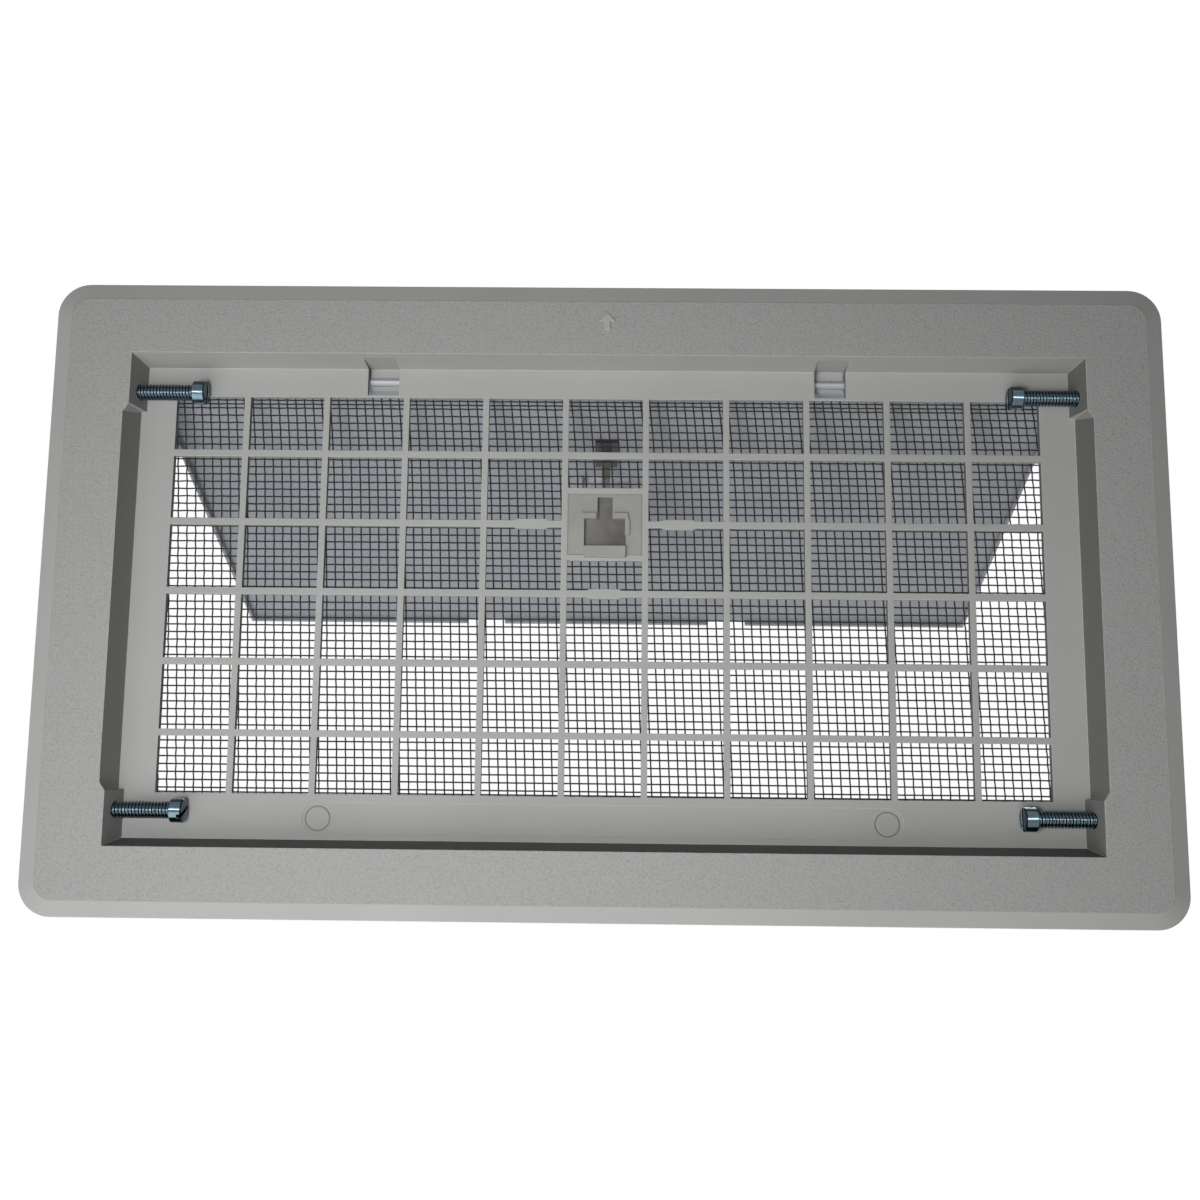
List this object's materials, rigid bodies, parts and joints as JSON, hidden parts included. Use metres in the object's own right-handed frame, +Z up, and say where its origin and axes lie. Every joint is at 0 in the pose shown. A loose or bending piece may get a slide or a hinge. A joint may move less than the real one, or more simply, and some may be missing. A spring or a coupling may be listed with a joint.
{
  "type": "foundation vent",
  "caption": "Flanged foundation vent for a block wall, with an egg-crate grille, insect screen, top-hinged thermostatic damper and jack screws.",
  "frame": {"origin": "centre of the flange, in the plane of its face", "axes": "+X to the right, +Z up, +Y into the wall, as the vent is fixed"},
  "size_m": [0.4318, 0.1667, 0.2434],
  "materials": {
    "moulded_frame": "fine leather grain",
    "screen_mesh": "black plastic-coated mesh",
    "damper_plate": "smooth moulded",
    "dark_catch": "smooth moulded",
    "natural_nylon": "translucent natural",
    "bimetal_strip": "rolled strip, brownish",
    "zinc_screw": "bright zinc plate, bluish"
  },
  "bodies": {
    "frame_body": {"frame": "moulded_frame", "insect_screen": "screen_mesh", "thermostat_clip": "natural_nylon", "bimetal_coil": "bimetal_strip"},
    "damper_body": {"damper": "damper_plate", "damper_catch": "dark_catch"},
    "screw_tl": {"screw_top_left": "zinc_screw"},
    "screw_tr": {"screw_top_right": "zinc_screw"},
    "screw_bl": {"screw_bottom_left": "zinc_screw"},
    "screw_br": {"screw_bottom_right": "zinc_screw"}
  },
  "joints": [
    {"name": "damper_hinge", "type": "hinge", "parent": "frame_body", "child": "damper_body", "pos_m": [0, 0.018, 0.0879], "axis": [1, 0, 0], "range_deg": [-61.5, 12], "deforming": ["bimetal_coil"]},
    {"name": "screw_tl_travel", "type": "slide", "parent": "frame_body", "child": "screw_tl", "axis": [-1, 0, 0], "range_m": [0, 0.018]},
    {"name": "screw_tr_travel", "type": "slide", "parent": "frame_body", "child": "screw_tr", "axis": [1, 0, 0], "range_m": [0, 0.018]},
    {"name": "screw_bl_travel", "type": "slide", "parent": "frame_body", "child": "screw_bl", "axis": [-1, 0, 0], "range_m": [0, 0.018]},
    {"name": "screw_br_travel", "type": "slide", "parent": "frame_body", "child": "screw_br", "axis": [1, 0, 0], "range_m": [0, 0.018]}
  ]
}
